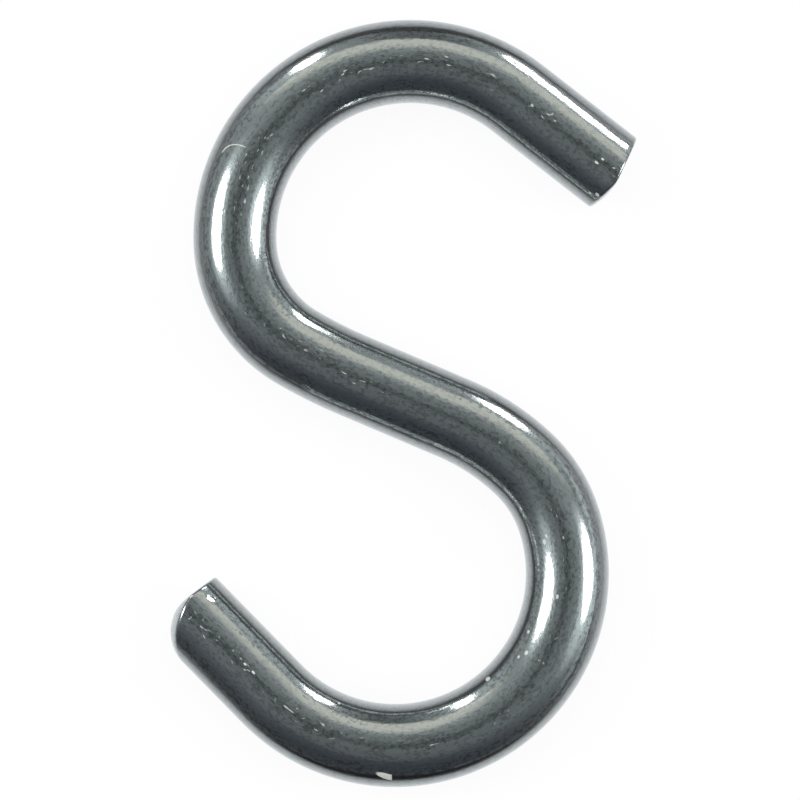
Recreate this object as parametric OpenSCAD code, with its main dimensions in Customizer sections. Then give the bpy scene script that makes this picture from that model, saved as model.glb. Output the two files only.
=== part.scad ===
// Open S hook, bent from one length of round steel wire and zinc plated.
// The hook lies flat: the S is drawn in the XY plane as seen from above, and the wire rests on Z = 0.
// Each hook is a chain of stretches that leaves the middle of the shank: half the shank, three bends
// that all turn to the right, and a straight leg that ends in a sheared face.
// The origin is under the middle of the whole outline.

/* [Wire] */
// Diameter of the wire
wire_d = 5.5; // [3:0.1:6.5]
// Length of the straight shank between the two hooks
shank_length = 7.2; // [4:0.1:20]
// How far the shank slopes down to the right
shank_slope = 23; // [0:0.5:40]

/* [Upper hook bends] */
// Centreline radius where the shank starts to turn
upper_lead_r = 33.4; // [15:0.1:40]
// Angle turned by that first easy bend
upper_lead_angle = 7.1; // [2:0.1:25]
// Centreline radius of the tightest bend
upper_tight_r = 8.3; // [6:0.1:11]
// Angle turned by the tightest bend
upper_tight_angle = 57.3; // [20:0.1:80]
// Centreline radius of the broad bend that holds the load
upper_broad_r = 11.6; // [9:0.1:15]
// Angle turned by the broad bend
upper_broad_angle = 130.5; // [90:0.1:150]

/* [Upper hook end] */
// Length of the straight leg, to the highest line of its sheared face
upper_leg_length = 8.6; // [5:0.1:12]
// Slope of the sheared face away from that line
upper_face_tilt = 12.5; // [1:0.5:20]
// Width that the shear blade rolled over, across the leg from that line
upper_roll_width = 2.1; // [0.5:0.1:3]
// Radius of the rolled edge
upper_roll_r = 5; // [3:0.1:8]
// Side of the leg that the shear rolled over
upper_roll_side = -1; // [1:Outer side, -1:Inner side]

/* [Lower hook bends] */
// Centreline radius where the shank starts to turn
lower_lead_r = 15.7; // [12:0.1:40]
// Angle turned by that first easy bend
lower_lead_angle = 20.4; // [2:0.1:30]
// Centreline radius of the tightest bend
lower_tight_r = 8.7; // [6:0.1:11]
// Angle turned by the tightest bend
lower_tight_angle = 27.3; // [10:0.1:60]
// Centreline radius of the broad bend that holds the load
lower_broad_r = 11.4; // [9:0.1:15]
// Angle turned by the broad bend
lower_broad_angle = 154.9; // [110:0.1:165]

/* [Lower hook end] */
// Length of the straight leg, to the highest line of its sheared face
lower_leg_length = 8.5; // [5:0.1:12]
// Slope of the sheared face away from that line
lower_face_tilt = 8; // [1:0.5:20]
// Width that the shear blade rolled over, across the leg from that line
lower_roll_width = 3; // [0.5:0.1:3]
// Radius of the rolled edge
lower_roll_r = 3; // [3:0.1:8]
// Side of the leg that the shear rolled over
lower_roll_side = 1; // [1:Outer side, -1:Inner side]

/* [Hidden] */
$fn = 96;

wire_r = wire_d / 2;
// The rolled edge starts with this faint step, as a sheared edge does
roll_step = 0.02;
// Size of the blocks that trim the stretches, larger than any hook in the ranges
block = 200;
// Step between the outline's points, in degrees
outline_step = 1;

// Radius and angle of each bend, in order from the shank
upper_bends = [
    [upper_lead_r, upper_lead_angle],
    [upper_tight_r, upper_tight_angle],
    [upper_broad_r, upper_broad_angle],
];
lower_bends = [
    [lower_lead_r, lower_lead_angle],
    [lower_tight_r, lower_tight_angle],
    [lower_broad_r, lower_broad_angle],
];

// A station on the wire is [x, y, heading]. These give the station after a stretch.
function after_straight(at, length) = [
    at[0] + length * cos(at[2]),
    at[1] + length * sin(at[2]),
    at[2],
];
function after_bend(at, bend_r, angle) = [
    at[0] + bend_r * (sin(at[2]) - sin(at[2] - angle)),
    at[1] + bend_r * (cos(at[2] - angle) - cos(at[2])),
    at[2] - angle,
];
function after_bends(at, bends, done) =
    done == 0 ? at : after_bend(after_bends(at, bends, done - 1), bends[done - 1][0], bends[done - 1][1]);

// A point of a station's own frame, ahead along the wire and aside to its left
function beside(at, ahead, aside) = [
    at[0] + ahead * cos(at[2]) - aside * sin(at[2]),
    at[1] + ahead * sin(at[2]) + aside * cos(at[2]),
];

// The wire's left edge, the outer one, along every bend of a hook that starts at a station
function bends_outline(at, bends) = [
    for (i = [0 : len(bends) - 1], turned = [0 : outline_step : bends[i][1]])
        beside(after_bend(after_bends(at, bends, i), bends[i][0], turned), 0, wire_r)
];

// The outline of a leg's end: the rolled edge and the sharp corner across from it
function end_outline(at, length, face_tilt, roll_width, roll_r, side) = concat(
    [for (a = [0 : outline_step : 90]) beside(
        at,
        min(length, length + roll_step - roll_r * (1 - cos(a))),
        side * min(wire_r, wire_r + roll_step - roll_width + roll_r * sin(a)))],
    [beside(at, length - (wire_d - roll_width) * tan(face_tilt), -side * wire_r)]);

upper_start = after_straight([0, 0, 180 - shank_slope], shank_length / 2);
lower_start = after_straight([0, 0, -shank_slope], shank_length / 2);
outline = concat(
    bends_outline(upper_start, upper_bends),
    bends_outline(lower_start, lower_bends),
    end_outline(after_bends(upper_start, upper_bends, len(upper_bends)),
        upper_leg_length, upper_face_tilt, upper_roll_width, upper_roll_r, upper_roll_side),
    end_outline(after_bends(lower_start, lower_bends, len(lower_bends)),
        lower_leg_length, lower_face_tilt, lower_roll_width, lower_roll_r, lower_roll_side));
outline_x = [for (p = outline) p[0]];
outline_y = [for (p = outline) p[1]];
// Middle of the whole outline, measured from the middle of the shank
middle_x = (min(outline_x) + max(outline_x)) / 2;
middle_y = (min(outline_y) + max(outline_y)) / 2;

// Everything ahead of the local YZ plane
module ahead() {
    translate([0, -block / 2, -block / 2]) cube(block);
}

// Wire that runs straight from the local origin along +X
module straight(length) {
    rotate([0, 90, 0]) cylinder(r = wire_r, h = length);
}

// Carries what follows to the far end of a bend to the right
module beyond_bend(bend_r, angle) {
    translate([0, -bend_r, 0]) rotate([0, 0, -angle]) translate([0, bend_r, 0]) children();
}

// Wire that bends to the right from the local origin, trimmed square at both ends
module bend(bend_r, angle) {
    difference() {
        intersection() {
            ahead();
            translate([0, -bend_r, 0]) rotate_extrude() translate([bend_r, 0]) circle(r = wire_r);
        }
        beyond_bend(bend_r, angle) ahead();
    }
}

// Ring that rounds a face in the local XY plane from a radius outwards, turned about Z
module rounding_ring(from_r, round_r) {
    rotate_extrude()
        translate([from_r, -round_r])
            difference() {
                square(round_r + wire_d);
                circle(r = round_r);
            }
}

// A straight leg with its sheared face: one side rolled over, the face sloping back to the other side
module leg(length, face_tilt, roll_width, roll_r, side) {
    difference() {
        straight(length);
        translate([length, side * (wire_r - roll_width), 0]) rotate([0, 0, -side * face_tilt]) ahead();
        translate([length + roll_step, -side * wire_r, 0])
            rotate([0, 90, 0]) rounding_ring(wire_d + roll_step - roll_width, roll_r);
    }
}

// One bend after another, and the children beyond the last one
module chain(bends, i = 0) {
    if (i < len(bends)) {
        bend(bends[i][0], bends[i][1]);
        beyond_bend(bends[i][0], bends[i][1]) chain(bends, i + 1) children();
    } else {
        children();
    }
}

module half(bends) {
    straight(shank_length / 2);
    translate([shank_length / 2, 0, 0]) chain(bends) children();
}

module hook() {
    color([0.58, 0.61, 0.61])
        translate([-middle_x, -middle_y, wire_r])
            union() {
                rotate([0, 0, 180 - shank_slope])
                    half(upper_bends)
                        leg(upper_leg_length, upper_face_tilt, upper_roll_width, upper_roll_r,
                            upper_roll_side);
                rotate([0, 0, -shank_slope])
                    half(lower_bends)
                        leg(lower_leg_length, lower_face_tilt, lower_roll_width, lower_roll_r,
                            lower_roll_side);
            }
}

hook();
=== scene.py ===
import math

import bpy
import numpy as np
from bpy.props import (
    EnumProperty,
    FloatProperty,
    FloatVectorProperty,
    IntProperty,
    PointerProperty,
)
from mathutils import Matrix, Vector


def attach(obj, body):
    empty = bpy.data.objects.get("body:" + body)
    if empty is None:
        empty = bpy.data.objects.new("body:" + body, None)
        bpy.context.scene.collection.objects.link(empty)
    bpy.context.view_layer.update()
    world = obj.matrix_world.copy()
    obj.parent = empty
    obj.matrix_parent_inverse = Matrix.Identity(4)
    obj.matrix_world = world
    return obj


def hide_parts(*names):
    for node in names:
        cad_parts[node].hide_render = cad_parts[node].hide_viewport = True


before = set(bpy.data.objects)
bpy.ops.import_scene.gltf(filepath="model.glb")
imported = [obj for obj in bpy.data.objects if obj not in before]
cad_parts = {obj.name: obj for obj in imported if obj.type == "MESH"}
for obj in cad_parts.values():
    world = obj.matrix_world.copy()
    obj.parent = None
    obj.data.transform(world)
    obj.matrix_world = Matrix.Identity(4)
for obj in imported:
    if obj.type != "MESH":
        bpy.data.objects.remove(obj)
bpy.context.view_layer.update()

bl_info = {
    "name": "Wire S hook",
    "version": (1, 0, 0),
    "blender": (4, 5, 0),
    "location": "View3D > Sidebar > S hook",
    "description": "Bends a zinc-plated wire S hook and sets it on a pale studio floor",
    "category": "Add Mesh",
}

MM = 0.001
# Keeps each point's place on the straightened wire
WIRE_ATTRIBUTE = "wire_place"

# The rolled edge starts with a faint step, and a small round blends it into the sheared face
ROLL_STEP = 0.02 * MM
FACE_BLEND = 0.12 * MM
# The face's rings stop short of its middle
FACE_RINGS = 16
FACE_MIDDLE = 0.1 * MM

# Azimuth from +X and polar angle from straight up of the lamps and their glow, in degrees
LEFT_LAMP = (174, 53)
LEFT_GLOW = (178, 51)
RIGHT_LAMP = (-2, 61)
RIGHT_GLOW = (-7, 59)
LEFT_STRIP = (119.5, 81)
RIGHT_STRIP = (56.5, 84)

# Places of marks on the straightened wire, in millimetres: run along it from the lower end,
# distance left of its middle line, and height over its middle
FLAKE = (17.15, -1.97, 1.9)
FIBRE = (74.05, 0.70, 2.0)
FACET = (1.1846, 1.622, 2.2)
SPECK_HEIGHT = 2.2
# How far down a mark reaches, so that it stays off the wire's underside
MARK_DEPTH = 3
# Pale specks, partly painted sparkle beside the highlights, the last two painted glints of burrs at the
# upper end's inner corner: run along the wire, distance left of its middle line, and half length
SPECKS = (
    (5.82, 0.21, 0.13), (6.60, 0.22, 0.15), (12.92, 2.11, 0.12), (25.82, 2.15, 0.22),
    (28.74, 1.60, 0.13), (29.32, 1.32, 0.18), (30.60, 1.38, 0.14), (30.82, 1.82, 0.14),
    (33.90, 0.62, 0.16), (37.90, 1.34, 0.18), (38.30, 1.12, 0.13), (93.78, 1.73, 0.15),
    (101.82, -0.26, 0.15), (102.00, 0.16, 0.12), (102.72, -2.08, 0.12), (103.16, -1.87, 0.16),
)

SIDES = (("OUTER", "Outer side", "The shear rolled the outer side over"),
         ("INNER", "Inner side", "The shear rolled the inner side over"))


class WireSizes(bpy.types.PropertyGroup):
    """The wire and the straight shank between the hooks"""

    diameter: FloatProperty(
        name="Wire diameter", description="Diameter of the round wire",
        default=5.5 * MM, min=3 * MM, max=6.5 * MM, unit="LENGTH")
    shank_length: FloatProperty(
        name="Shank length", description="Straight stretch between the two hooks",
        default=7.2 * MM, min=4 * MM, max=20 * MM, unit="LENGTH")
    shank_slope: FloatProperty(
        name="Shank slope", description="How far the shank slopes down to the right",
        default=math.radians(23), min=0, max=math.radians(40), unit="ROTATION")
    middle: FloatVectorProperty(
        name="Middle", description="Middle of the whole outline, from the middle of the shank",
        size=2, default=(0.024790 * MM, -0.439594 * MM), unit="LENGTH")
    ring_step: FloatProperty(
        name="Ring step", description="Distance between the mesh's rings along the wire",
        default=0.3 * MM, min=0.1 * MM, max=2 * MM, unit="LENGTH")
    ring_points: IntProperty(
        name="Ring points", description="Points round the wire", default=128, min=32, max=192)
    edge_radius: FloatProperty(
        name="Edge radius", description="Radius left on the sharp edge of a sheared face",
        default=0.16 * MM, min=0.02 * MM, max=0.5 * MM, unit="LENGTH")


class UpperHookSizes(bpy.types.PropertyGroup):
    """The upper hook's bends, in order from the shank, and its cropped end"""

    radii: FloatVectorProperty(
        name="Bend radii", description="Centreline radius of each bend",
        size=3, default=(33.4 * MM, 8.3 * MM, 11.6 * MM), unit="LENGTH")
    angles: FloatVectorProperty(
        name="Bend angles", description="Angle turned by each bend", size=3,
        default=(math.radians(7.1), math.radians(57.3), math.radians(130.5)), unit="ROTATION")
    leg_length: FloatProperty(
        name="Leg length", description="Straight leg, to the highest line of its face",
        default=8.6 * MM, unit="LENGTH")
    face_tilt: FloatProperty(
        name="Face tilt", description="Slope of the sheared face",
        default=math.radians(12.5), unit="ROTATION")
    roll_width: FloatProperty(
        name="Roll width", description="Width that the shear blade rolled over",
        default=2.1 * MM, unit="LENGTH")
    roll_radius: FloatProperty(
        name="Roll radius", description="Radius of the rolled edge",
        default=5 * MM, unit="LENGTH")
    roll_side: EnumProperty(
        name="Rolled side", description="Side that the shear rolled over",
        items=SIDES, default="INNER")


class LowerHookSizes(bpy.types.PropertyGroup):
    """The lower hook's bends, in order from the shank, and its cropped end"""

    radii: FloatVectorProperty(
        name="Bend radii", description="Centreline radius of each bend",
        size=3, default=(15.7 * MM, 8.7 * MM, 11.4 * MM), unit="LENGTH")
    angles: FloatVectorProperty(
        name="Bend angles", description="Angle turned by each bend", size=3,
        default=(math.radians(20.4), math.radians(27.3), math.radians(154.9)), unit="ROTATION")
    leg_length: FloatProperty(
        name="Leg length", description="Straight leg, to the highest line of its face",
        default=8.5 * MM, unit="LENGTH")
    face_tilt: FloatProperty(
        name="Face tilt", description="Slope of the sheared face",
        default=math.radians(8), unit="ROTATION")
    roll_width: FloatProperty(
        name="Roll width", description="Width that the shear blade rolled over",
        default=3 * MM, unit="LENGTH")
    roll_radius: FloatProperty(
        name="Roll radius", description="Radius of the rolled edge",
        default=3 * MM, unit="LENGTH")
    roll_side: EnumProperty(
        name="Rolled side", description="Side that the shear rolled over",
        items=SIDES, default="OUTER")


class ZincLook(bpy.types.PropertyGroup):
    """Colours and gloss of the zinc coat"""

    light_colour: FloatVectorProperty(
        name="Light zinc", description="Colour of the cleaner zinc", subtype="COLOR",
        size=4, min=0, max=1, default=(0.65, 0.69, 0.685, 1))
    # The dark zinc also paints the dark dashes along the middle track, which are partly painted
    # reflection of the camera
    dark_colour: FloatVectorProperty(
        name="Dark zinc", description="Colour of the duller speckle", subtype="COLOR",
        size=4, min=0, max=1, default=(0.31, 0.335, 0.34, 1))
    # The fleck colour also paints the pale sparkle dashes and the glint specks
    fleck_colour: FloatVectorProperty(
        name="Fleck", description="Colour of the pale flake, fibre and specks stuck to the wire",
        subtype="COLOR", size=4, min=0, max=1, default=(0.62, 0.62, 0.56, 1))
    roughness: FloatProperty(
        name="Roughness", description="Roughness of the cleaner zinc",
        default=0.105, min=0, max=1, subtype="FACTOR")
    smooth_speckle: FloatProperty(
        name="Smooth speckle", description="How much of the speckle is left in the smooth bands",
        default=0.3, min=0, max=1, subtype="FACTOR")
    grain_depth: FloatProperty(
        name="Grain depth", description="Depth of the speckle's grain",
        default=0.016 * MM, min=0, max=0.1 * MM, unit="LENGTH")
    streak_depth: FloatProperty(
        name="Streak depth", description="Depth of the streaks along the wire",
        default=0.006 * MM, min=0, max=0.1 * MM, unit="LENGTH")


class StageLook(bpy.types.PropertyGroup):
    """The floor, the lamps and the camera"""

    floor_colour: FloatVectorProperty(
        name="Floor", description="Colour of the plain pale floor", subtype="COLOR",
        size=4, min=0, max=1, default=(0.95, 0.95, 0.95, 1))
    room_colour: FloatVectorProperty(
        name="Room", description="Colour of the plain room around the lamps", subtype="COLOR",
        size=4, min=0, max=1, default=(0.275, 0.30, 0.305, 1))
    panel_colour: FloatVectorProperty(
        name="Panel", description="Colour of the soft panel on the far side", subtype="COLOR",
        size=4, min=0, max=1, default=(0.60, 0.60, 0.555, 1))
    room_dark_colour: FloatVectorProperty(
        name="Dark room", description="Colour of the room's dark side, behind the camera operator",
        subtype="COLOR", size=4, min=0, max=1, default=(0.052, 0.058, 0.068, 1))
    lamp_level: FloatProperty(
        name="Lamp level", description="Brightness of the two round lamps",
        default=6.0, min=0, max=20)
    strip_level: FloatProperty(
        name="Strip level", description="Brightness of the two low strip lamps",
        default=5.0, min=0, max=20)
    panel_level: FloatProperty(
        name="Panel level", description="Brightness of the soft panel",
        default=1.1, min=0, max=5)
    fill_level: FloatProperty(
        name="Fill level", description="Brightness of the overhead fill that lights the floor",
        default=1.2, min=0, max=5)
    frame_width: FloatProperty(
        name="Frame width", description="Width of the view at the wire's middle height",
        default=52.92 * MM, unit="LENGTH")
    frame_centre: FloatVectorProperty(
        name="Frame centre", description="Middle of the view on the floor",
        size=2, default=(-0.256 * MM, 0.2315 * MM), unit="LENGTH")
    camera_height: FloatProperty(
        name="Camera height", description="Height of the camera over the floor",
        default=0.5, unit="LENGTH")


# The wire's route

def stations(wire, upper, lower):
    """The stretches of the wire from the lower end to the upper end.

    Each is (start x, start y, heading, length, radius, turn), where turn is 1 to the left,
    -1 to the right and 0 for a straight stretch, and length is along the centreline.
    """
    def hook_route(hook, heading):
        x, y = -wire.middle[0], -wire.middle[1]
        route = []
        plan = [(wire.shank_length / 2, 0, 0)]
        plan += [(r * a, r, -1) for r, a in zip(hook.radii, hook.angles)]
        plan += [(hook.leg_length, 0, 0)]
        for length, radius, turn in plan:
            begin = (x, y, heading)
            x, y, heading = travel(x, y, heading, length, radius, turn)
            route.append((*begin, length, radius, turn, (x, y, heading)))
        return route

    forward = hook_route(upper, math.pi - wire.shank_slope)
    back = hook_route(lower, -wire.shank_slope)
    whole = []
    for *_, length, radius, turn, (x, y, heading) in reversed(back):
        whole.append((x, y, heading + math.pi, length, radius, -turn))
    whole += [row[:6] for row in forward]
    return whole


def travel(x, y, heading, length, radius, turn):
    """Where a walk along one stretch gets to."""
    if turn == 0:
        return x + length * math.cos(heading), y + length * math.sin(heading), heading
    cx, cy = x - turn * radius * math.sin(heading), y + turn * radius * math.cos(heading)
    heading += turn * length / radius
    return cx + turn * radius * math.sin(heading), cy - turn * radius * math.cos(heading), heading


# Modelling helpers

def only(piece):
    """Make one object the active and the only selected one."""
    bpy.ops.object.select_all(action="DESELECT")
    piece.select_set(True)
    bpy.context.view_layer.objects.active = piece


def push_ring(dx, dy):
    bpy.ops.mesh.extrude_region_move(TRANSFORM_OT_translate={"value": (dx, dy, 0)})


def bend_wire(route, wire):
    """A ring of points pulled along the straights and spun round the bends, open at both ends."""
    radius = wire.diameter / 2
    x, y, heading = route[0][:3]
    bpy.ops.object.select_all(action="DESELECT")
    bpy.ops.mesh.primitive_circle_add(
        vertices=wire.ring_points, radius=radius, fill_type="NOTHING",
        location=(x, y, radius), rotation=(0, math.pi / 2, heading))
    piece = bpy.context.active_object
    piece.name = piece.data.name = "wire_hook"
    bpy.ops.object.transform_apply(location=True, rotation=True, scale=True)
    bpy.ops.object.mode_set(mode="EDIT")
    bpy.ops.mesh.select_all(action="SELECT")
    for x, y, heading, length, bend, turn in route:
        steps = max(2, round(length / wire.ring_step))
        if turn == 0:
            for _ in range(steps):
                push_ring(length / steps * math.cos(heading), length / steps * math.sin(heading))
        else:
            centre = (x - turn * bend * math.sin(heading), y + turn * bend * math.cos(heading), radius)
            bpy.ops.mesh.spin(steps=steps, angle=-turn * length / bend, center=centre, axis=(0, 0, 1))
    bpy.ops.object.mode_set(mode="OBJECT")
    return piece


def close_end(piece, end, wire):
    """Fill the open ring at an end and inset it in rings that grow finer towards the rim."""
    x, y, heading = end
    ahead = np.array([math.cos(heading), math.sin(heading), 0])
    co = points_of(piece)
    at_end = np.abs((co - (x, y, 0)) @ ahead) < 0.01 * MM
    near = np.hypot(co[:, 0] - x, co[:, 1] - y) < wire.diameter
    only(piece)
    bpy.ops.object.mode_set(mode="EDIT")
    bpy.ops.mesh.select_all(action="DESELECT")
    bpy.ops.mesh.select_mode(type="VERT")
    bpy.ops.object.mode_set(mode="OBJECT")
    piece.data.vertices.foreach_set("select", at_end & near)
    bpy.ops.object.mode_set(mode="EDIT")
    bpy.ops.mesh.select_mode(type="EDGE")
    bpy.ops.mesh.edge_face_add()
    radius, edge = wire.diameter / 2, wire.edge_radius
    rim = [radius - edge * (1 - math.cos(math.radians(a))) for a in range(0, 91, 15)]
    inside = np.linspace(rim[-1], FACE_MIDDLE, FACE_RINGS)
    rings = rim + list(inside[1:])
    for outer, inner in zip(rings, rings[1:]):
        bpy.ops.mesh.inset(thickness=outer - inner, use_even_offset=True)
    bpy.ops.mesh.poke()
    bpy.ops.object.mode_set(mode="OBJECT")


def points_of(piece):
    co = np.empty(len(piece.data.vertices) * 3)
    piece.data.vertices.foreach_get("co", co)
    return co.reshape(-1, 3)


def face_height(aside, up, hook, wire):
    """How far the sheared end reaches along the leg, at points beside the leg's middle line."""
    radius, width, roll = wire.diameter / 2, hook.roll_width, hook.roll_radius
    side = 1 if hook.roll_side == "OUTER" else -1
    from_roll = np.maximum(0, side * (side * (radius - width) - aside))
    flat = hook.leg_length - from_roll * math.tan(hook.face_tilt)
    reach = wire.diameter + ROLL_STEP - width
    out = np.clip((np.hypot(aside + side * radius, up) - reach) / roll, 0, 1)
    rolled = hook.leg_length + ROLL_STEP - roll * (1 - np.sqrt(1 - out ** 2))
    near = np.clip(0.5 + 0.5 * (rolled - flat) / FACE_BLEND, 0, 1)
    return rolled * (1 - near) + flat * near - FACE_BLEND * near * (1 - near)


def shear_end(piece, start, hook, wire):
    """Move the leg's rings and its end rings to the form that the shear left."""
    x, y, heading = start
    ahead = np.array([math.cos(heading), math.sin(heading), 0])
    left = np.array([-math.sin(heading), math.cos(heading), 0])
    radius, edge = wire.diameter / 2, wire.edge_radius
    co = points_of(piece)
    local = co - (x, y, radius)
    along, aside, up = local @ ahead, local @ left, local[:, 2]
    ring = np.hypot(aside, up)
    on_leg = (along > 1e-7) & (along < hook.leg_length + 1e-6) & (ring < radius + 1e-6)
    to_rim = radius / ring.clip(1e-9)
    rim = face_height(aside * to_rim, up * to_rim, hook, wire) - edge
    wall = on_leg & (ring > radius - 1e-7)
    face = on_leg & ~wall
    into_edge = ((ring - radius + edge) / edge).clip(0, 1)
    rounding = edge * (1 - np.sqrt(1 - into_edge ** 2))
    moved = along.copy()
    moved[wall] = (along * rim / hook.leg_length)[wall]
    moved[face] = (face_height(aside, up, hook, wire) - rounding)[face]
    co += (moved - along)[:, None] * ahead
    piece.data.vertices.foreach_set("co", co.ravel())
    piece.data.update()


def mark_wire(piece, route, wire):
    """Keep each point's place on the straightened wire in millimetres, so streaks follow the bends."""
    co = points_of(piece)
    radius = wire.diameter / 2
    place = np.zeros_like(co)
    best = np.full(len(co), 1e9)
    run = 0
    for x, y, heading, length, bend, turn in route:
        ahead = np.array([math.cos(heading), math.sin(heading)])
        left = np.array([-math.sin(heading), math.cos(heading)])
        d = co[:, :2] - (x, y)
        if turn == 0:
            along, aside = d @ ahead, d @ left
        else:
            arm = d - turn * bend * left
            far = np.hypot(arm[:, 0], arm[:, 1])
            aside = turn * (bend - far)
            along = bend * (np.arctan2(arm @ ahead, -turn * (arm @ left)) % (2 * math.pi))
            along = np.where(along > 1.5 * math.pi * bend, along - 2 * math.pi * bend, along)
        miss = np.maximum(0, np.maximum(-along, along - length))
        miss += 10 * np.maximum(0, np.abs(aside) - radius)
        better = miss < best
        place[better] = np.stack([run + along, aside, co[:, 2] - radius], 1)[better] / MM
        best = np.minimum(best, miss)
        run += length
    layer = piece.data.attributes.new(WIRE_ATTRIBUTE, "FLOAT_VECTOR", "POINT")
    layer.data.foreach_set("vector", place.astype(np.float32).ravel())


# Materials

class Nodes:
    """Adds nodes to a tree and joins them, one line each."""

    def __init__(self, tree):
        self.tree = tree
        tree.nodes.clear()

    def add(self, kind, inputs=None, **settings):
        node = self.tree.nodes.new(kind)
        for key, value in settings.items():
            setattr(node, key, value)
        for key, value in (inputs or {}).items():
            socket = node.inputs[key]
            if isinstance(value, bpy.types.NodeSocket):
                self.tree.links.new(value, socket)
            else:
                socket.default_value = value
        return node

    def noise(self, vector, scale, detail=2.0, rough=0.5):
        return self.add("ShaderNodeTexNoise", {
            "Vector": vector, "Scale": scale, "Detail": detail, "Roughness": rough}).outputs["Fac"]

    def stretch(self, vector, scale):
        return self.add("ShaderNodeMapping", {"Vector": vector, "Scale": scale}).outputs["Vector"]

    def band(self, value, low, high, to_low=0.0, to_high=1.0):
        return self.add("ShaderNodeMapRange", {
            "Value": value, "From Min": low, "From Max": high,
            "To Min": to_low, "To Max": to_high}).outputs["Result"]

    def soft_band(self, value, low, high, to_low=0.0, to_high=1.0):
        return self.add("ShaderNodeMapRange", {
            "Value": value, "From Min": low, "From Max": high,
            "To Min": to_low, "To Max": to_high}, interpolation_type="SMOOTHSTEP").outputs["Result"]

    def math(self, operation, a, b):
        return self.add("ShaderNodeMath", {0: a, 1: b}, operation=operation).outputs[0]

    def product(self, first, *others):
        for value in others:
            first = self.math("MULTIPLY", first, value)
        return first

    def most(self, first, *others):
        for value in others:
            first = self.math("MAXIMUM", first, value)
        return first

    def towards(self, way, place):
        """1 where a way points at an azimuth and polar angle, and less around it."""
        return self.add("ShaderNodeVectorMath", {0: way, 1: aim(*place)},
                        operation="DOT_PRODUCT").outputs["Value"]

    def local(self, vector, at, reach, turn=0.0):
        """Coordinates about a point of the straightened wire, 1 at the given reach each way."""
        return self.add("ShaderNodeMapping", {
            "Vector": vector, "Location": at, "Rotation": (0, 0, turn), "Scale": reach},
            vector_type="TEXTURE").outputs["Vector"]

    def length(self, vector):
        return self.add("ShaderNodeVectorMath", {0: vector}, operation="LENGTH").outputs["Value"]

    def split(self, vector):
        return self.add("ShaderNodeSeparateXYZ", {"Vector": vector}).outputs

    def mix(self, factor, a, b):
        node = self.add("ShaderNodeMix", data_type="RGBA")
        for key, value in ((0, factor), (6, a), (7, b)):
            if isinstance(value, bpy.types.NodeSocket):
                self.tree.links.new(value, node.inputs[key])
            else:
                node.inputs[key].default_value = value
        return node.outputs[2]


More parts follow.
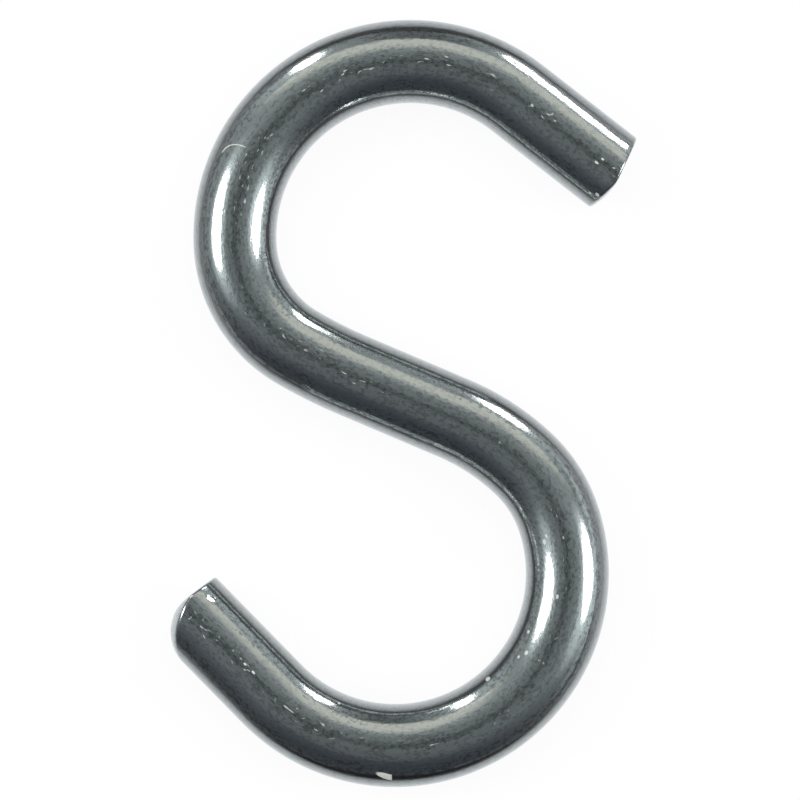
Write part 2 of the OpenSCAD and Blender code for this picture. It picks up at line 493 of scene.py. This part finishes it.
def zinc_finish(look):
    """Bright zinc over drawn wire: soft lengthwise streaks and a fine speckle that lies in tracks."""
    material = bpy.data.materials.new("zinc_plated_wire")
    material.use_nodes = True
    n = Nodes(material.node_tree)
    place = n.add("ShaderNodeAttribute", attribute_name=WIRE_ATTRIBUTE).outputs["Vector"]
    streaks = n.noise(n.stretch(place, (0.15, 1, 1)), 4, 2, 0.6)
    grain = n.noise(n.stretch(place, (0.65, 1, 1)), 5, 3, 0.65)
    clouds = n.noise(n.stretch(place, (0.4, 1, 1)), 0.9, 2)
    # The coat is smooth in two wide bands, and speckled along the middle and low on both sides; the
    # dark speckle along the middle is partly painted reflection, dark dashes standing in for the
    # camera's dark reflection
    aside = n.math("ABSOLUTE", n.split(place)[1], 0.0)
    wander = n.math("ADD", aside, n.band(clouds, 0.3, 0.7, 0.35, -0.35))
    low_track = n.product(n.soft_band(wander, 1.3, 1.6), n.soft_band(aside, 2.35, 2.05))
    middle_track = n.soft_band(wander, 0.75, 0.2)
    smooth = n.soft_band(aside, 1.15, 0.9, look.smooth_speckle, 2 * look.smooth_speckle)
    pits_and_painted_reflection = n.most(n.product(middle_track, 0.9), smooth)
    speckled = n.most(pits_and_painted_reflection, n.product(low_track, 0.85))
    # The dark speckle is partly the zinc's own grain and partly painted reflection along the middle
    # track
    dull_and_painted_reflection = n.product(n.band(grain, 0.48, 0.60), speckled)
    colour = n.mix(dull_and_painted_reflection, look.light_colour, look.dark_colour)
    roughness = n.math("ADD", look.roughness, n.product(dull_and_painted_reflection, 0.06))
    # Fine pale dashes of painted sparkle lie in clusters along the middle track
    dashes = n.noise(n.stretch(place, (0.4, 1, 1)), 5.5, 0)
    dashes = n.product(n.band(dashes, 0.70, 0.78), n.soft_band(wander, 0.45, 0.25),
                       n.band(clouds, 0.48, 0.56))

    # A pale flake stuck low on the lower bend, pointed at one end and cut square at the other
    flake = n.length(n.local(place, FLAKE, (0.75, 0.21, MARK_DEPTH), -0.3))
    flake = n.product(n.band(flake, 1.0, 0.8),
                      n.band(n.split(place)[0], FLAKE[0] + 0.27, FLAKE[0] + 0.21))
    # A fine pale fibre that curls over the left side of the upper hook, a quarter of an oval
    curl = n.local(place, FIBRE, (0.92, 1.27, MARK_DEPTH))
    off = n.math("ABSOLUTE", n.math("SUBTRACT", n.length(curl), 1.0), 0.0)
    fibre = n.product(n.band(off, 0.04, 0.01), n.band(n.split(curl)[0], -0.02, 0.06),
                      n.band(n.split(curl)[1], -0.02, 0.06))
    # The flake and the fibre are stuck to the wire; the dashes and specks that join them are painted
    # sparkle and glints
    stuck_and_painted_glint = n.most(flake, fibre, n.product(dashes, 0.55))
    # Pale specks join the mask: painted sparkle and, at the upper end's corner, painted glints
    for run, left, reach in SPECKS:
        spot = n.local(place, (run, left, SPECK_HEIGHT), (reach, 0.55 * reach, MARK_DEPTH))
        stuck_and_painted_glint = n.most(stuck_and_painted_glint, n.band(n.length(spot), 1.15, 0.75, 0.0, 0.85))
    colour = n.mix(stuck_and_painted_glint, colour, look.fleck_colour)
    roughness = n.most(roughness, n.product(stuck_and_painted_glint, 0.6))
    metal = n.math("SUBTRACT", 1.0, stuck_and_painted_glint)

    # A small facet is knocked into the wire beside the lower end's sharp corner
    facet = n.local(place, FACET, (0.29, 0.17, MARK_DEPTH), 0.31)
    slope = n.math("SUBTRACT", n.product(n.split(facet)[0], 0.03), n.product(n.split(facet)[1], 0.035))
    facet = n.product(slope, n.band(n.length(facet), 1.3, 1.0))

    bump_facet = n.add("ShaderNodeBump", {"Strength": 1.0, "Distance": MM, "Height": facet})
    bump_streaks = n.add("ShaderNodeBump", {
        "Strength": 1.0, "Distance": look.streak_depth, "Height": streaks,
        "Normal": bump_facet.outputs["Normal"]})
    bump = n.add("ShaderNodeBump", {
        "Strength": 1.0, "Distance": look.grain_depth, "Height": n.product(grain, pits_and_painted_reflection),
        "Normal": bump_streaks.outputs["Normal"]})
    shader = n.add("ShaderNodeBsdfPrincipled", {
        "Base Color": colour, "Metallic": metal, "Roughness": roughness,
        "Normal": bump.outputs["Normal"]})
    n.add("ShaderNodeOutputMaterial", {"Surface": shader.outputs["BSDF"]})
    return material


def floor_finish(look):
    """A pale floor that the camera and shiny metal see white, and that still takes a shadow."""
    material = bpy.data.materials.new("pale_floor")
    material.use_nodes = True
    n = Nodes(material.node_tree)
    path = n.add("ShaderNodeLightPath").outputs
    lit = n.add("ShaderNodeBsdfDiffuse", {"Color": look.floor_colour})
    # Painted falloff: shiny metal sees the floor's glow fade out towards the horizon
    facing = n.add("ShaderNodeLayerWeight", {"Blend": 0.5}).outputs["Facing"]
    upright = n.math("SUBTRACT", 1.0, facing)
    fade = n.product(upright, 0.9, n.soft_band(upright, 0.2, 0.52))
    # Painted pools of light: shiny metal sees the sheet glow more at its left and right, and less in
    # front
    place = n.split(n.add("ShaderNodeTexCoord").outputs["Object"])
    right = n.soft_band(place["X"], 16 * MM, 24 * MM, 0.08, 0.36)
    left = n.soft_band(place["X"], -16 * MM, -24 * MM, 0.08, 0.26)
    front = n.soft_band(place["Y"], -45 * MM, -10 * MM, 0.3, 1.0)
    fade = n.most(fade, n.product(n.most(right, left), front))
    strength = n.add("ShaderNodeMix", {0: path["Is Glossy Ray"], 2: 1.0, 3: fade}).outputs[0]
    tint = n.mix(path["Is Glossy Ray"], (1, 1, 1, 1), (0.95, 0.965, 1.0, 1))
    white = n.add("ShaderNodeEmission", {"Color": tint, "Strength": strength})
    # A little of the camera's view stays plain floor, which keeps the hook's shadow
    seen = n.product(path["Is Camera Ray"], 0.92)
    seen = n.math("ADD", seen, path["Is Glossy Ray"])
    seen = n.math("ADD", seen, path["Is Transmission Ray"])
    both = n.add("ShaderNodeMixShader", {0: seen, 1: lit.outputs[0], 2: white.outputs[0]})
    n.add("ShaderNodeOutputMaterial", {"Surface": both.outputs[0]})
    return material


def room(look):
    """A plain room, darker on the near side, with the lamps' glow, and white as the camera sees it."""
    world = bpy.data.worlds.new("room")
    bpy.context.scene.world = world
    world.use_nodes = True
    n = Nodes(world.node_tree)
    path = n.add("ShaderNodeLightPath").outputs
    way = n.add("ShaderNodeTexCoord").outputs["Generated"]
    axes = n.split(way)
    side = n.math("ADD", axes["Y"], n.product(axes["X"], 0.1))
    colour = n.mix(n.soft_band(side, -0.9, 0.05), look.room_dark_colour, look.room_colour)
    overhead = n.soft_band(axes["Z"], 0.82, 0.97, 1.05, 0.69)
    far_wall = n.soft_band(axes["Y"], 0.75, 0.95, 1.0, 0.47)
    camera_spot = n.soft_band(axes["Z"], 0.982, 0.9985, 1.0, 0.52)
    low_right = n.product(n.soft_band(axes["Z"], 0.3, 0.1), n.soft_band(axes["X"], 0.7, 0.97))
    # The two round lamps glow a little beyond their rims
    for glow in (LEFT_GLOW, RIGHT_GLOW):
        overhead = n.math("ADD", overhead, n.soft_band(n.towards(way, glow), 0.9, 0.982, 0.0, 1.5))
    plain = n.product(overhead, far_wall, camera_spot, n.math("ADD", low_right, 1.0))
    # So do the two strip lamps, more faintly
    for strip in (LEFT_STRIP, RIGHT_STRIP):
        plain = n.math("ADD", plain, n.soft_band(n.towards(way, strip), 0.883, 0.985, 0.0, 0.45))
    # A soft panel on the far side, with a slow fade overhead and a sharper lower edge
    across = n.soft_band(n.math("ADD", axes["Y"], n.product(axes["X"], 0.12)), 0.42, 0.68)
    rise = n.product(n.soft_band(axes["Z"], 0.90, 0.66), n.soft_band(axes["Z"], 0.4, 0.465))
    panel = n.product(across, rise, look.panel_level)
    colour = n.mix(panel, colour, look.panel_colour)
    dim = n.add("ShaderNodeBackground", {"Color": colour, "Strength": n.most(plain, panel)})
    white = n.add("ShaderNodeBackground", {"Color": (1, 1, 1, 1), "Strength": 1.0})
    both = n.add("ShaderNodeMixShader", {
        0: path["Is Camera Ray"], 1: dim.outputs[0], 2: white.outputs[0]})
    n.add("ShaderNodeOutputWorld", {"Surface": both.outputs[0]})


def aim(azimuth, polar):
    """The direction at an azimuth from +X and a polar angle from straight up, both in degrees."""
    azimuth, polar = math.radians(azimuth), math.radians(polar)
    level = math.sin(polar)
    return Vector((level * math.cos(azimuth), level * math.sin(azimuth), math.cos(polar)))


def lamp(name, azimuth, polar, across, tall, level, shape="ELLIPSE", distance=0.6):
    """A soft lamp aimed at the hook, across and tall being the angles it covers as the hook sees it."""
    way = aim(azimuth, polar)
    data = bpy.data.lights.new(name, "AREA")
    data.shape = shape
    data.size = 2 * distance * math.tan(math.radians(across) / 2)
    data.size_y = 2 * distance * math.tan(math.radians(tall) / 2)
    area = data.size * data.size_y * (math.pi / 4 if shape == "ELLIPSE" else 1)
    data.energy = level * area * math.pi
    light = bpy.data.objects.new(name, data)
    light.location = way * distance
    light.rotation_euler = way.to_track_quat("Z", "Y").to_euler()
    light.visible_camera = False
    bpy.context.scene.collection.objects.link(light)
    return light


# Operators

class HOOK_OT_wire(bpy.types.Operator):
    """Bend the wire into the S, shear both ends and plate it"""

    bl_idname = "hook.wire"
    bl_label = "Wire hook"

    def execute(self, context):
        scene = context.scene
        wire, upper, lower = scene.hook_wire, scene.hook_upper, scene.hook_lower
        route = stations(wire, upper, lower)
        piece = bend_wire(route, wire)
        lower_tip, upper_root = route[0], route[-1]
        lower_root = travel(*lower_tip)
        upper_tip = travel(*upper_root)
        close_end(piece, upper_tip, wire)
        close_end(piece, lower_tip[:3], wire)
        shear_end(piece, upper_root[:3], upper, wire)
        shear_end(piece, (lower_root[0], lower_root[1], lower_root[2] + math.pi), lower, wire)
        only(piece)
        bpy.ops.object.mode_set(mode="EDIT")
        bpy.ops.mesh.select_all(action="SELECT")
        bpy.ops.mesh.normals_make_consistent(inside=False)
        bpy.ops.object.mode_set(mode="OBJECT")
        bpy.ops.object.shade_smooth()
        mark_wire(piece, route, wire)
        piece.data.materials.append(zinc_finish(scene.hook_zinc))
        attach(piece, "root")
        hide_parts("hook")
        return {"FINISHED"}


class HOOK_OT_stage(bpy.types.Operator):
    """Lay the floor, hang the lamps and set the camera over the hook"""

    bl_idname = "hook.stage"
    bl_label = "Studio"

    def execute(self, context):
        scene = context.scene
        look = scene.hook_stage
        bpy.ops.object.select_all(action="DESELECT")
        bpy.ops.mesh.primitive_plane_add(size=6)
        floor = context.active_object
        floor.name = floor.data.name = "floor"
        floor.data.materials.append(floor_finish(look))
        room(look)
        lamp("left_lamp", *LEFT_LAMP, 24, 24, look.lamp_level)
        lamp("right_lamp", *RIGHT_LAMP, 24, 24, look.lamp_level)
        lamp("left_strip", *LEFT_STRIP, 9, 24, look.strip_level)
        lamp("right_strip", *RIGHT_STRIP, 13, 24, look.strip_level)
        fill = lamp("fill", 90, 8, 80, 80, look.fill_level, shape="RECTANGLE")
        fill.visible_glossy = False
        data = bpy.data.cameras.new("camera")
        camera = bpy.data.objects.new("camera", data)
        scene.collection.objects.link(camera)
        camera.location = (*look.frame_centre, look.camera_height)
        reach = look.camera_height - scene.hook_wire.diameter / 2
        data.lens = data.sensor_width * reach / look.frame_width
        data.clip_start, data.clip_end = 0.01, 10
        scene.camera = camera
        scene.view_settings.view_transform = "Standard"
        return {"FINISHED"}


class HOOK_PT_panel(bpy.types.Panel):
    """The hook's pieces"""

    bl_idname = "HOOK_PT_panel"
    bl_label = "S hook"
    bl_space_type = "VIEW_3D"
    bl_region_type = "UI"
    bl_category = "S hook"

    def draw(self, context):
        for operator in OPERATORS:
            self.layout.operator(operator.bl_idname)


SETTINGS = {
    "hook_wire": WireSizes,
    "hook_upper": UpperHookSizes,
    "hook_lower": LowerHookSizes,
    "hook_zinc": ZincLook,
    "hook_stage": StageLook,
}
OPERATORS = (HOOK_OT_wire, HOOK_OT_stage)


def register():
    for group in SETTINGS.values():
        bpy.utils.register_class(group)
    for name, group in SETTINGS.items():
        setattr(bpy.types.Scene, name, PointerProperty(type=group))
    for operator in OPERATORS:
        bpy.utils.register_class(operator)
    bpy.utils.register_class(HOOK_PT_panel)


def unregister():
    bpy.utils.unregister_class(HOOK_PT_panel)
    for operator in reversed(OPERATORS):
        bpy.utils.unregister_class(operator)
    for name in SETTINGS:
        delattr(bpy.types.Scene, name)
    for group in reversed(list(SETTINGS.values())):
        bpy.utils.unregister_class(group)


def main():
    register()
    bpy.ops.hook.wire()
    bpy.ops.hook.stage()


if __name__ == "__main__":
    main()
